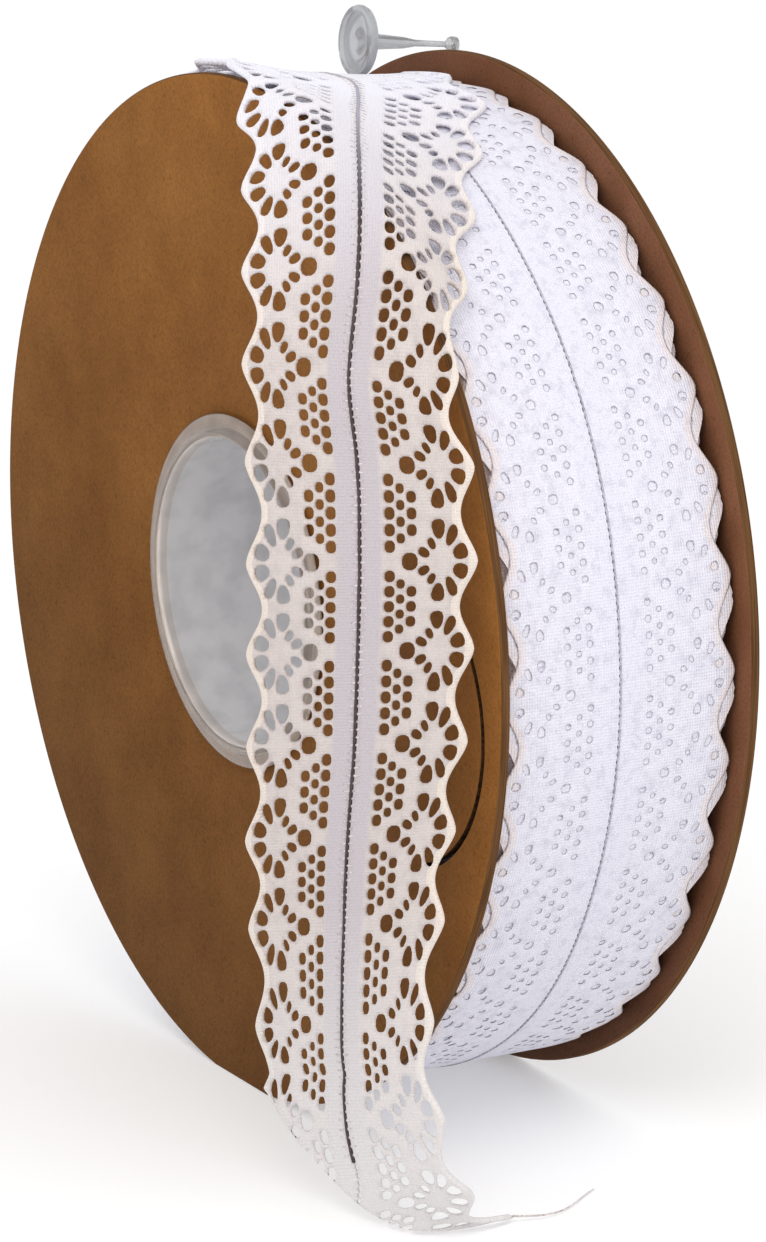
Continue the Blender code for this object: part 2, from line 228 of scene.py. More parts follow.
class Shade:
    """A material with its Principled shader, and short ways to add and join nodes."""

    def __init__(self, name, colour, roughness):
        self.material = bpy.data.materials.new(name)
        self.material.use_nodes = True
        self.tree = self.material.node_tree
        self.shader = self.tree.nodes["Principled BSDF"]
        self.set("Base Color", (*colour, 1.0))
        self.set("Roughness", roughness)

    def set(self, socket, value):
        self.shader.inputs[socket].default_value = value

    def node(self, kind, **values):
        made = self.tree.nodes.new(kind)
        for name, value in values.items():
            if name.startswith("in_"):
                made.inputs[name[3:].replace("_", " ")].default_value = value
            else:
                setattr(made, name, value)
        return made

    def join(self, output, socket):
        self.tree.links.new(output, socket)

    def paint(self, tone):
        self.join(tone, self.shader.inputs["Base Color"])

    def place(self):
        return self.node("ShaderNodeTexCoord").outputs["Object"]

    def on_lace(self):
        return self.node("ShaderNodeUVMap", uv_map="lace").outputs["UV"]

    def apart(self, vector):
        made = self.node("ShaderNodeSeparateXYZ")
        self.join(vector, made.inputs[0])
        return made.outputs

    def ease(self, value, start, end):
        """A share that is 0 where the value is start and 1 where it is end."""
        made = self.node("ShaderNodeMapRange", in_From_Min=start, in_From_Max=end)
        self.join(value, made.inputs["Value"])
        return made.outputs[0]

    def scaled(self, source, scale):
        mapping = self.node("ShaderNodeMapping")
        mapping.inputs["Scale"].default_value = scale
        self.join(source, mapping.inputs["Vector"])
        return mapping.outputs["Vector"]

    def noise(self, vector, scale, detail=3.0, roughness=0.55):
        made = self.node("ShaderNodeTexNoise", in_Scale=scale, in_Detail=detail, in_Roughness=roughness)
        self.join(vector, made.inputs["Vector"])
        return made.outputs["Fac"]

    def ramp(self, value, stops):
        made = self.node("ShaderNodeValToRGB")
        elements = made.color_ramp.elements
        while len(elements) < len(stops):
            elements.new(0.5)
        for element, (place, colour) in zip(elements, stops):
            element.position = place
            element.color = (*colour, 1.0)
        self.join(value, made.inputs["Fac"])
        return made.outputs["Color"]

    def mix(self, share, first, second, way="MIX"):
        made = self.node("ShaderNodeMix", data_type="RGBA", blend_type=way)
        for value, socket in ((share, made.inputs[0]), (first, made.inputs[6]), (second, made.inputs[7])):
            if isinstance(value, bpy.types.NodeSocket):
                self.join(value, socket)
            else:
                socket.default_value = value if isinstance(value, float) else (*value, 1.0)
        return made.outputs[2]

    def maths(self, way, first, second=0.0, third=0.0):
        made = self.node("ShaderNodeMath", operation=way)
        for value, socket in zip((first, second, third), made.inputs):
            if isinstance(value, bpy.types.NodeSocket):
                self.join(value, socket)
            else:
                socket.default_value = value
        return made.outputs[0]

    def bump(self, height, strength, distance):
        made = self.node("ShaderNodeBump", in_Strength=strength, in_Distance=distance)
        self.join(height, made.inputs["Height"])
        self.join(made.outputs["Normal"], self.shader.inputs["Normal"])


def kraft_material(name, dark, middle, light):
    """Brown kraft board: cloudy tone, short fibres and fine specks, with painted light that makes it lighter
    towards the top and the +Y side.
    """
    shade = Shade(name, middle, 0.82)
    shade.set("Specular IOR Level", 0.15)
    place = shade.place()
    clouds = shade.noise(place, 38.0, 5.0, 0.6)
    tone = shade.ramp(clouds, ((0.32, dark), (0.5, middle), (0.7, light)))
    fibre = shade.noise(shade.scaled(place, (1.0, 0.6, 1.0)), 3400.0, 2.0, 0.6)
    cross = shade.noise(shade.scaled(place, (1.0, 1.0, 0.6)), 3000.0, 2.0, 0.6)
    fibres = shade.maths("MULTIPLY_ADD", fibre, 0.5, shade.maths("MULTIPLY", cross, 0.5))
    grain = shade.ramp(fibres, ((0.36, (0.72, 0.70, 0.66)), (0.5, WHITE), (0.64, (1.22, 1.2, 1.16))))
    tone = shade.mix(0.75, tone, grain, "MULTIPLY")
    specks = shade.ramp(shade.noise(place, 900.0, 1.0, 0.5), ((0.26, (0.68, 0.63, 0.56)), (0.34, WHITE)))
    tone = shade.mix(0.6, tone, specks, "MULTIPLY")
    # Painted light: the board's tone grows lighter with height and towards +Y, more steeply past the side
    # limit.
    spot = shade.apart(place)
    painted_light = shade.maths("MULTIPLY_ADD", spot[2], PAINTED_LIGHT_PER_HEIGHT, PAINTED_LIGHT_BASE)
    painted_light = shade.maths("MULTIPLY_ADD", spot[1], PAINTED_LIGHT_PER_SIDE, painted_light)
    aside = shade.maths("MAXIMUM", shade.maths("SUBTRACT", spot[1], PAINTED_LIGHT_SIDE_FROM), 0.0)
    painted_light = shade.maths("MULTIPLY_ADD", aside, PAINTED_LIGHT_SIDE_MORE, painted_light)
    painted_light_colour = shade.node("ShaderNodeCombineColor")
    for socket in painted_light_colour.inputs:
        shade.join(painted_light, socket)
    tone = shade.mix(1.0, tone, painted_light_colour.outputs[0], "MULTIPLY")
    shade.paint(tone)
    shade.bump(fibres, 0.35, 0.00012)
    return shade.material


def board_edge_material():
    """The cut edge of the board: thin plies and loose fibre ends."""
    shade = Shade("kraft_edge", (0.11, 0.05, 0.018), 0.9)
    shade.set("Specular IOR Level", 0.15)
    place = shade.place()
    plies = shade.noise(shade.scaled(place, (1.0, 0.02, 0.02)), 3600.0, 2.0, 0.6)
    tone = shade.ramp(plies, ((0.35, (0.075, 0.032, 0.010)), (0.6, (0.14, 0.066, 0.025))))
    shade.paint(tone)
    shade.bump(plies, 0.5, 0.00015)
    return shade.material


def slit_shade_material():
    """The slit's cut walls, painted near-black: painted shade inside the narrow slit."""
    shade = Shade("kraft_slit_painted_shade", (0.03, 0.014, 0.006), 0.95)
    shade.set("Specular IOR Level", 0.1)
    place = shade.place()
    slit_shade_noise = shade.noise(place, 1500.0, 2.0, 0.6)
    tone = shade.ramp(slit_shade_noise, ((0.35, (0.015, 0.007, 0.003)), (0.65, (0.07, 0.033, 0.013))))
    shade.paint(tone)
    return shade.material


def lace_material(name, thread, band, shadow, cord, before=None, after=None):
    """Cotton lace: threads along and across, a plainer woven band, a paler corded edge, cloudy tone.

    Where before and after are given, the lace starts in that colour on the roll and ends in the other. This
    is painted light: the lace is lighter where it lies on the lit roll, darker and warmer in the given tones
    where it hangs in front of the board, and paler again near the white floor.
    """
    shade = Shade(name, thread, 0.88)
    shade.set("Sheen Weight", 0.25)
    shade.set("Sheen Roughness", 0.5)
    place = shade.on_lace()
    spot = shade.apart(place)
    run, across = spot[0], spot[1]
    side = shade.maths("ABSOLUTE", across)
    inside = shade.ease(side, *BAND_EDGE)
    clouds = shade.noise(place, 0.35, 3.0, 0.6)
    tone = shade.ramp(clouds, ((0.3, shadow), (0.55, thread)))
    tone = shade.mix(inside, tone, band)
    peak = shade.maths("ABSOLUTE", shade.maths("SINE", shade.maths("MULTIPLY", run, math.pi / PITCH)))
    edge = shade.maths("MULTIPLY_ADD", shade.maths("POWER", peak, 1.6), -SCALLOP_DEPTH, HALF - CORD_WIDE)
    tone = shade.mix(shade.maths("GREATER_THAN", side, edge), tone, cord)
    # Painted light: the lace is lighter where it lies on the lit roll, takes the darker, warmer hanging
    # tones in front of the board, and pales near the white floor.
    if before:
        leaving = shade.maths("MULTIPLY_ADD", across, 0.5, run)
        tone = shade.mix(shade.ease(leaving, *PAINTED_SHADE_OFF_ROLL), before, tone)
        tone = shade.mix(shade.ease(run, *PAINTED_FLOOR_LIGHT), tone, after)
    else:
        mottle = shade.ramp(shade.noise(place, 0.55, 3.0, 0.7), ((0.36, (0.86, 0.86, 0.88)), (0.5, WHITE)))
        tone = shade.mix(0.9, tone, mottle, "MULTIPLY")
    fuzz = shade.noise(place, 3.2, 3.0, 0.65)
    grain = shade.ramp(fuzz, ((0.3, (0.8, 0.79, 0.81)), (0.58, WHITE)))
    tone = shade.mix(0.6, tone, grain, "MULTIPLY")
    shade.paint(tone)
    along = shade.maths("SINE", shade.maths("MULTIPLY", run, 2 * math.pi / WEAVE_ALONG))
    over = shade.maths("SINE", shade.maths("MULTIPLY", across, 2 * math.pi / WEAVE_ACROSS))
    weave = shade.maths("MULTIPLY_ADD", along, 0.5, shade.maths("MULTIPLY", over, 0.5))
    height = shade.maths("MULTIPLY_ADD", fuzz, 1.6, weave)
    shade.bump(height, 0.5, 0.00012)
    return shade.material


def clear_material(name, colour, roughness, transmission):
    shade = Shade(name, colour, roughness)
    shade.set("Transmission Weight", transmission)
    shade.set("IOR", 1.46)
    place = shade.place()
    waves = shade.noise(place, 260.0, 2.0, 0.5)
    haze = shade.ramp(waves, ((0.35, tuple(0.86 * part for part in colour)), (0.6, colour)))
    shade.paint(haze)
    shade.bump(waves, 0.12, 0.0002)
    return shade.material


def thread_material(name, colour, before=None):
    """Twisted yarn. Where before is given, the yarn starts in that colour on the roll: painted light, paler
    on the lit roll and darker where it hangs.
    """
    shade = Shade(name, colour, 0.8)
    place = shade.place()
    twist = shade.noise(place, 2400.0, 2.0, 0.6)
    tone = shade.ramp(twist, ((0.35, tuple(0.5 * part for part in colour)), (0.62, colour)))
    # Painted light: the yarn is paler on the lit roll and darkens as it hangs.
    if before:
        run = shade.apart(shade.on_lace())[0]
        tone = shade.mix(shade.ease(run, *THREAD_PAINTED_SHADE), before, tone)
    shade.paint(tone)
    shade.bump(twist, 0.4, 0.0001)
    return shade.material


# Mesh helpers

def add_mesh(name, points, faces, materials, uv=None, face_slots=None, sharp=None):
    """Make a piece from arrays, give it its materials, and let it ride on the spool."""
    mesh = bpy.data.meshes.new(name)
    mesh.from_pydata([tuple(point) for point in points], [], [tuple(face) for face in faces])
    for material in materials:
        mesh.materials.append(material)
    mesh.shade_smooth()
    if sharp:
        mesh.set_sharp_from_angle(angle=math.radians(sharp))
    if face_slots is not None:
        mesh.polygons.foreach_set("material_index", np.array(face_slots, dtype=np.int32))
    if uv is not None:
        corners = np.empty(len(mesh.loops), dtype=np.int32)
        mesh.loops.foreach_get("vertex_index", corners)
        layer = mesh.uv_layers.new(name="lace")
        layer.data.foreach_set("uv", np.asarray(uv, dtype=np.float32)[corners].ravel())
    obj = bpy.data.objects.new(name, mesh)
    bpy.context.scene.collection.objects.link(obj)
    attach(obj, "root")
    return obj


def mend(obj, merge=0.0):
    """Join points that lie closer than merge, in metres, and turn the faces outward."""
    bm = bmesh.new()
    bm.from_mesh(obj.data)
    if merge:
        bmesh.ops.remove_doubles(bm, verts=bm.verts, dist=merge)
    bmesh.ops.recalc_face_normals(bm, faces=bm.faces)
    bm.to_mesh(obj.data)
    bm.free()


def grid_faces(rows, columns, rows_close=False, columns_close=False, start=0):
    """Faces between the points of a grid, which may close on itself either way."""
    faces = []
    for i in range(rows if rows_close else rows - 1):
        for j in range(columns if columns_close else columns - 1):
            here = start + i * columns
            after = start + (i + 1) % rows * columns
            k = (j + 1) % columns
            faces.append((here + j, here + k, after + k, after + j))
    return faces


def tube(path, radii, sides=6):
    """Points and faces of a thin tube along a path of points, closed at both ends."""
    path = np.asarray(path)
    radii = np.broadcast_to(radii, len(path))
    ahead = np.gradient(path, axis=0)
    ahead /= np.linalg.norm(ahead, axis=1)[:, None]
    helper = np.array([0.31, 0.17, 0.93])
    side = np.cross(ahead, helper)
    side /= np.linalg.norm(side, axis=1)[:, None]
    up = np.cross(side, ahead)
    angles = 2 * math.pi * np.arange(sides) / sides
    rings = path[:, None] + radii[:, None, None] * (
        side[:, None] * np.cos(angles)[None, :, None] + up[:, None] * np.sin(angles)[None, :, None])
    points = rings.reshape(-1, 3)
    faces = grid_faces(len(path), sides, columns_close=True)
    faces.append(tuple(range(sides))[::-1])
    faces.append(tuple((len(path) - 1) * sides + j for j in range(sides)))
    return points, faces


def join_parts(parts):
    """Put several (points, faces) parts together."""
    points, faces, count = [], [], 0
    for part_points, part_faces in parts:
        points.append(np.asarray(part_points))
        faces += [tuple(index + count for index in face) for face in part_faces]
        count += len(part_points)
    return np.concatenate(points), faces


def lathe(profile, steps):
    """Turn a closed profile of (along, radius) in millimetres about the axis."""
    turns = np.arange(steps) * 360.0 / steps
    profile = np.array(profile)
    points = spool_points(profile[None, :, 0], turns[:, None], profile[None, :, 1]).reshape(-1, 3)
    return points, grid_faces(steps, len(profile), rows_close=True, columns_close=True)


# The lace in the flat

def scallop_edge(run):
    """How far the lace reaches from its centre line: round peaks, a little pointed, and round valleys."""
    wave = np.abs(np.sin(math.pi * np.asarray(run) / PITCH)) ** 1.6
    return HALF - SCALLOP_DEPTH * wave


def hole_outline(run, across, long_axis, short_axis, turn, taper, sides, grow=0.0):
    """A rounded hole; turn is from the across direction, in degrees, and taper widens its far end."""
    angles = 2 * math.pi * (np.arange(sides) + 0.5) / sides
    far = np.sign(np.cos(angles)) * np.abs(np.cos(angles)) ** 0.86
    a = (long_axis / 2 + grow) * far
    near = np.sign(np.sin(angles)) * np.abs(np.sin(angles)) ** 0.86
    b = (short_axis / 2 * (1 + taper * far) + grow) * near
    c, s = math.cos(math.radians(turn)), math.sin(math.radians(turn))
    return np.stack([run + a * s + b * c, across + a * c - b * s], axis=1)


def holes_between(low, high, ladder):
    """Each hole near a stretch of lace, as run, across, long axis, short axis, turn and taper."""
    found = []
    for k in range(math.floor(low / PITCH) - 1, math.ceil(high / PITCH) + 2):
        peak = k * PITCH
        for side in (1.0, -1.0):
            for column, size, places in NET_COLUMNS:
                for place in places:
                    found.append((peak + PITCH / 2 + place, side * column, size, size, 0.0, 0.0))
            for inward, along, long_axis, short_axis, taper in PETALS:
                for flip in ((1.0, -1.0) if along else (1.0,)):
                    outward = math.degrees(math.atan2(flip * along, -side * inward))
                    place = (peak + flip * along, side * (ROSETTE - inward))
                    found.append((*place, long_axis, short_axis, outward, taper))
        if ladder:
            for j in range(LADDER_STEPS):
                run = peak + (j + 0.5) * PITCH / LADDER_STEPS
                found.append((run, 0.0, *LADDER_SLOT, 90.0, 0.0))
    reach = 2.0
    return [hole for hole in found if low - reach < hole[0] < high + reach]


def inside_outline(points, outline):
    """Which points lie inside a closed outline."""
    x, y = points[:, 0][:, None], points[:, 1][:, None]
    x0, y0 = outline[:, 0][None], outline[:, 1][None]
    x1, y1 = np.roll(outline[:, 0], -1)[None], np.roll(outline[:, 1], -1)[None]
    crosses = (y0 > y) != (y1 > y)
    with np.errstate(divide="ignore", invalid="ignore"):
        at = x0 + (y - y0) * (x1 - x0) / (y1 - y0)
    return (np.sum(crosses & (x < at), axis=1) % 2) == 1


def distance_to_outline(points, outline):
    start, end = outline, np.roll(outline, -1, axis=0)
    way = end - start
    share = np.einsum("pkd,kd->pk", points[:, None] - start[None], way) / np.einsum("kd,kd->k", way, way)
    near = start[None] + np.clip(share, 0.0, 1.0)[..., None] * way[None]
    return np.linalg.norm(points[:, None] - near, axis=2).min(axis=1)


def lace_stretch(low, high, fine=True, cut=None, hole_size=1.0, spacing=0.8):
    """Triangulate a stretch of flat lace with its holes.

    Gives points (run, across), the thickness share at each, and triangles. A fine stretch has
    rounded threads, so a second outline lies round each hole. The cut is a line from one
    (run, across) to another; the lace before it stays.
    """
    sides = 12 if fine else 8
    points, edges = [], []
    holes = []
    for run, across, long_axis, short_axis, turn, taper in holes_between(low, high, fine):
        holes.append((run, across, hole_size * long_axis, hole_size * short_axis, turn, taper))

    def clear_of_holes(run, across, room):
        return all(math.hypot(run - hole[0], across - hole[1]) > 0.5 * max(hole[2], hole[3]) + room
                   for hole in holes)

    def add_line(line, closed):
        first = len(points)
        points.extend(tuple(spot) for spot in line)
        count = len(line)
        edges.extend((first + i, first + (i + 1) % count) for i in range(count if closed else count - 1))

    outlines = []
    for hole in holes:
        slot = hole[1] == 0.0
        outline = hole_outline(*hole, 8 if slot else sides)
        outlines.append((hole[0], hole[1], outline))
        add_line(outline, True)
        if fine:
            add_line(hole_outline(*hole, 8 if slot else sides, grow=0.8 * THREAD_ROUND), True)
    steps = max(int(round((high - low) / PITCH * (22 if fine else 14))), 2)
    runs = np.linspace(low, high, steps + 1)
    insets = (0.0, 0.3, 0.65, CORD_WIDE) if fine else (0.0, 0.9)
    for side in (1.0, -1.0):
        for inset in insets:
            add_line(np.stack([runs, side * (scallop_edge(runs) - inset)], axis=1), False)
    border = np.arange(-HALF - 1.0, HALF + 1.1, spacing)
    for run in (low, high):
        add_line([(run, across) for across in border if clear_of_holes(run, across, 0.4)], False)
    rows = int(round((high - low) / spacing))
    for i in range(rows):
        run = low + (i + 0.5) * (high - low) / rows
        for j in range(-int(HALF / spacing), int(HALF / spacing) + 1):
            across = (j + 0.5 * (i % 2)) * spacing
            inside = abs(across) < scallop_edge(run) - CORD_WIDE - 0.3
            if inside and clear_of_holes(run, across, 0.45):
                points.append((run, across))
    if cut is not None:
        (run0, across0), (run1, across1) = cut
        way = np.array([run1 - run0, across1 - across0])
        aside = np.array([way[1], -way[0]]) / np.linalg.norm(way)
        if aside[0] > 0:
            aside = -aside
        line = np.linspace(0.0, 1.0, 50)[:, None] * way + np.array([run0, across0])
        add_line(line, False)
        add_line(line + aside * 0.3, False)
    result = delaunay_2d_cdt([Vector(spot) for spot in points], edges, [], 0, 1e-5, False)
    flat = np.array([tuple(spot) for spot in result[0]])
    triangles = np.array([face for face in result[2]])
    middle = flat[triangles].mean(axis=1)
    keep = (middle[:, 0] > low) & (middle[:, 0] < high)
    keep &= np.abs(middle[:, 1]) < scallop_edge(middle[:, 0])
    away = np.full(len(flat), 10.0)
    for run, across, outline in outlines:
        near = np.linalg.norm(middle - (run, across), axis=1) < 2.2
        keep[near] &= ~inside_outline(middle[near], outline)
        close = np.linalg.norm(flat - (run, across), axis=1) < 2.6
        if close.any():
            away[close] = np.minimum(away[close], distance_to_outline(flat[close], outline))
    rim = scallop_edge(flat[:, 0]) - np.abs(flat[:, 1])
    away = np.minimum(away, np.abs(rim))
    if cut is not None:
        beyond = (middle - (run0, across0)) @ aside
        keep &= beyond > 0
        away = np.minimum(away, np.abs((flat - (run0, across0)) @ aside))
    triangles = triangles[keep]
    share = np.clip(away / THREAD_ROUND, 0.0, 1.0)
    height = np.sqrt(np.clip(1.0 - (1.0 - share) ** 2, 0.0, 1.0))
    cord = np.clip(1.0 - np.abs(rim - CORD_WIDE / 2) / (CORD_WIDE / 2), 0.0, 1.0)
    height *= 1.0 + 0.55 * np.sqrt(cord)
    ladder_rim = np.clip(1.0 - np.abs(np.abs(flat[:, 1]) - 3.6) / 0.5, 0.0, 1.0)
    height *= 1.0 + 0.25 * ladder_rim
    height[away < 0.004] = 0.0
    used = np.unique(triangles)
    order = np.full(len(flat), -1)
    order[used] = np.arange(len(used))
    return flat[used], height[used], order[triangles]


def weld(points, height, triangles):
    """Join the points that neighbouring stretches share."""
    keys = np.round(points / 0.004).astype(np.int64)
    _, first, back = np.unique(keys, axis=0, return_index=True, return_inverse=True)
    triangles = back.reshape(-1)[triangles]
    whole = (triangles[:, 0] != triangles[:, 1]) & (triangles[:, 1] != triangles[:, 2]) & (
        triangles[:, 0] != triangles[:, 2])
    return points[first], height[first], triangles[whole]


def repeat(stretch, shifts):
    points, height, triangles = stretch
    all_points = np.concatenate([points + (shift, 0.0) for shift in shifts])
    all_height = np.tile(height, len(shifts))
    all_triangles = np.concatenate([triangles + i * len(points) for i in range(len(shifts))])
    return all_points, all_height, all_triangles


def put_together(stretches):
    count, parts = 0, []
    for points, height, triangles in stretches:
        parts.append((points, height, triangles + count))
        count += len(points)
    return weld(*(np.concatenate([part[k] for part in parts]) for k in range(3)))


def thicken(flat, height, triangles, place, thick):
    """Lay flat lace on a surface and give it two skins that meet along each hole and edge."""
    middle, normal = place(flat[:, 0], flat[:, 1])
    lift = (height * thick * MM)[:, None] * normal
    top = middle + lift
    doubled = np.nonzero(height > 0.0)[0]
    under = np.arange(len(flat))
    under[doubled] = len(flat) + np.arange(len(doubled))
    points = np.concatenate([top, (middle - lift)[doubled]])
    faces = np.concatenate([triangles, under[triangles][:, ::-1]])
    uv = np.concatenate([flat, flat[doubled]])
    return points, faces, uv


# The loose end's surface: the CAD's rows, but for the rim's radius and the last rows' places

Row = namedtuple("Row", "run left right fold")


def on_roll(along, turn, radius):
    return spool_point(along, turn, radius)


def free(x, y, z):
    return Vector((x, y, z))


def rim(turn):
    return on_roll(20.6, turn, 77.6)


FLOOR = 0.6 - AXIS_HEIGHT
ROWS = [
    Row(-81, on_roll(18.7, -65.7, 71.72), on_roll(-18.7, -65.7, 71.72), None),
    Row(-75, on_roll(18.6, -61.0, 71.75), on_roll(-18.6, -61.0, 71.75), None),
    Row(-60, on_roll(18.4, -49.5, 71.9), on_roll(-18.6, -47.0, 71.75), None),
    Row(-45, on_roll(17.9, -37.7, 72.8), on_roll(-18.5, -33.0, 71.75), None),
    Row(-30, on_roll(17.2, -26.0, 75.2), on_roll(-18.2, -18.0, 71.75), None),
    Row(-18, on_roll(17.6, -16.5, 76.5), on_roll(-17.0, -6.5, 71.75), None),
    Row(-8, on_roll(19.0, -8.5, 76.8), on_roll(-14.8, 3.5, 71.75), None),
    Row(0, on_roll(20.8, -2.0, 76.9), on_roll(-12.3, 11.5, 71.8), None),
    Row(14, free(26.5, 11.3, 70.6), on_roll(-3.3, 23.4, 72.0), rim(13.0)),
    Row(28, free(32.0, 22.7, 62.9), on_roll(5.5, 34.9, 72.7), rim(28.0)),
    Row(42, free(36.4, 30.8, 52.7), on_roll(14.1, 46.0, 75.2), rim(43.0)),
    Row(55, free(38.6, 35.0, 41.2), free(22.6, 66.6, 43.9), None),
    Row(68, free(39.9, 38.2, 28.8), free(23.4, 72.2, 33.3), None),
    Row(81, free(41.0, 40.4, 15.6), free(23.8, 73.8, 21.2), None),
    Row(95, free(40.7, 39.7, 2.1), free(24.0, 73.2, 8.4), None),
    Row(108, free(40.2, 38.8, -11.0), free(24.7, 72.8, -4.1), None),
    Row(121, free(39.9, 37.8, -24.4), free(26.0, 72.0, -16.1), None),
    Row(135, free(39.5, 38.0, -37.7), free(28.5, 73.2, -28.6), None),
    Row(148, free(38.9, 38.9, -51.3), free(31.4, 75.4, -41.3), None),
    Row(156, free(38.9, 39.6, -58.6), free(32.4, 78.2, -48.5), None),
    Row(163, free(38.0, 46.7, -64.8), free(31.8, 79.4, -55.2), None),
    Row(170, free(36.0, 56.4, -70.0), free(29.3, 79.4, -62.0), None),
    Row(178, free(33.4, 63.6, -73.2), free(24.8, 77.0, -68.4), None),
    Row(185, free(29.4, 70.0, FLOOR), free(19.8, 73.8, -72.2), None),
    Row(192, free(15.8, 71.4, FLOOR), free(14.6, 70.6, FLOOR), None),
]
RUNS = [row.run for row in ROWS]
LEFTS = [row.left for row in ROWS]
RIGHTS = [row.right for row in ROWS]
FOLD_STARTS, FOLD_ENDS = 0.0, 55.0
FOLD_ROWS = [row for row in ROWS if FOLD_STARTS <= row.run <= FOLD_ENDS]
FOLD_RUNS = [row.run for row in FOLD_ROWS]
FOLDS = [row.fold or (row.left if row.run <= FOLD_STARTS else row.right) for row in FOLD_ROWS]
CUT_STARTS, CUT_ENDS = 156.0, 193.0
# Whole cells of lace run from the first to the one that the cut reaches
FIRST_CELL, CUT_CELL = -6, 11
FOLD_SOFTNESS = 4.0
RISE_POWER = 2.0


def blend(values, runs, run):
    """A smooth curve through the rows' points: Catmull-Rom, with the rows' own spacing."""
    i = max(k for k in range(len(runs) - 1) if runs[k] <= run + 1e-9)
    before, after = max(i - 1, 0), min(i + 2, len(runs) - 1)
    gap = runs[i + 1] - runs[i]
    t = (run - runs[i]) / gap
    slope_here = (values[i + 1] - values[before]) * (gap / (runs[i + 1] - runs[before]))
    slope_next = (values[after] - values[i]) * (gap / (runs[after] - runs[i]))
    return (values[i] * (2 * t ** 3 - 3 * t ** 2 + 1) + slope_here * (t ** 3 - 2 * t ** 2 + t)
            + values[i + 1] * (3 * t ** 2 - 2 * t ** 3) + slope_next * (t ** 3 - t ** 2))


def left_limit(run):
    share = min(max((run - CUT_STARTS) / (CUT_ENDS - CUT_STARTS), 0.0), 1.0)
    return HALF * (2 * share - 1)


def polar(point):
    return point.x, math.degrees(math.atan2(point.y, point.z)), math.hypot(point.y, point.z)


def row_curve(run):
    """A function of across for one row of the loose end, before its fold is softened."""
    left = blend(LEFTS, RUNS, run)
    right = blend(RIGHTS, RUNS, run)
    low = left_limit(run)
    share = min(max((run - FOLD_STARTS) / (FOLD_ENDS - FOLD_STARTS), 0.0), 1.0)
    fold_across = HALF * (2 * share - 1)
    if run <= FOLD_STARTS:
        fold = left
    elif run >= FOLD_ENDS:
        fold = right
    else:
        fold = blend(FOLDS, FOLD_RUNS, run)
    start, end = polar(fold), polar(right)

    def raw(across):
        if across < fold_across or run >= FOLD_ENDS:
            return left.lerp(fold, (across - low) / (fold_across - low))
        t = (across - fold_across) / (HALF - fold_across)
        along = start[0] + (end[0] - start[0]) * t
        turn = start[1] + (end[1] - start[1]) * t
        radius = end[2] + (start[2] - end[2]) * (1 - t) ** RISE_POWER
        return spool_point(along, turn, radius)

    return raw


SURFACE_COLUMNS = 39


def loose_surface():
    """A grid of the loose end's points: rows along the run, columns from the left limit to the right."""
    runs = np.arange(RUNS[0], RUNS[-1] + 0.5, 1.0)
    shares = np.linspace(0.0, 1.0, SURFACE_COLUMNS)
    grid = np.zeros((len(runs), SURFACE_COLUMNS, 3))
    for i, run in enumerate(runs):
        raw = row_curve(float(run))
        low = left_limit(float(run))
        for j, share in enumerate(shares):
            across = low + (HALF - low) * share
            room = min(FOLD_SOFTNESS, HALF - across, across - low)
            total = Vector()
            for k in (-2, -1, 0, 1, 2):
                total += raw(across + room * k / 2)
            grid[i, j] = total / 5
    return runs, grid


LOOSE_RUNS, LOOSE_GRID = loose_surface()


def grid_slopes(grid):
    down = np.gradient(grid, axis=0)
    over = np.gradient(grid, axis=1)
    normal = np.cross(down, over)
    size = np.linalg.norm(normal, axis=2)[..., None]
    return normal / np.maximum(size, 1e-9)


LOOSE_NORMALS = grid_slopes(LOOSE_GRID)


def sample_grid(grid, rows, columns):
    i = np.clip(np.floor(rows).astype(int), 0, grid.shape[0] - 2)
    j = np.clip(np.floor(columns).astype(int), 0, grid.shape[1] - 2)
    a = np.clip(rows - i, 0.0, 1.0)[:, None]
    b = np.clip(columns - j, 0.0, 1.0)[:, None]
    return (grid[i, j] * (1 - a) * (1 - b) + grid[i + 1, j] * a * (1 - b)
            + grid[i, j + 1] * (1 - a) * b + grid[i + 1, j + 1] * a * b)


def on_loose_end(run, across):
    """Places and normals on the loose end, in metres."""
    run, across = np.asarray(run, dtype=float), np.asarray(across, dtype=float)
    share = np.clip((run - CUT_STARTS) / (CUT_ENDS - CUT_STARTS), 0.0, 0.9995)
    low = HALF * (2 * share - 1)
    columns = (across - low) / (HALF - low) * (SURFACE_COLUMNS - 1)
    rows = run - LOOSE_RUNS[0]
    spots = sample_grid(LOOSE_GRID, rows, columns)
    normals = sample_grid(LOOSE_NORMALS, rows, columns)
    normals /= np.maximum(np.linalg.norm(normals, axis=1), 1e-9)[:, None]
    return spots * MM + np.array(CENTRE), normals


def wobble(value, seed, wave):
    """A smooth, seeded waviness between -1 and 1."""
    total = np.zeros_like(np.asarray(value, dtype=float))
    for k in range(1, 5):
        phase = math.sin(seed * 12.9898 + k * 78.233) * 43.7585
        total += np.sin(2 * math.pi * np.asarray(value) / (wave / k ** 0.7) + phase * math.pi) / k
    return total / 2.1


def wound(radius_start, radius, turn_start, seed, droop, sag=ROLL_SAG):
    """The surface of one wound turn: a function of run (0 and back) and across."""

    def place(run, across):
        back = -np.asarray(run, dtype=float)
        turn = turn_start - np.degrees(back / radius)
        edge = np.clip((np.abs(across) - 14.5) / 4.5, 0.0, 1.2)
        reach = radius + (radius_start - radius) * np.exp(-back / 45.0) - droop * edge ** 2
        reach = reach + 0.1 * wobble(1.25 * turn, 3, 75.0) - sag * np.cos(np.radians(turn))
        along = -0.985 * across + 0.14 * wobble(back, seed + 1, 90.0)
        along = np.clip(along, -18.9, 18.9)
        angle = np.radians(turn)
        normal = np.stack([np.zeros_like(angle), np.sin(angle), np.cos(angle)], axis=-1)
        return spool_points(along, turn, reach), normal

    return place


# Pieces

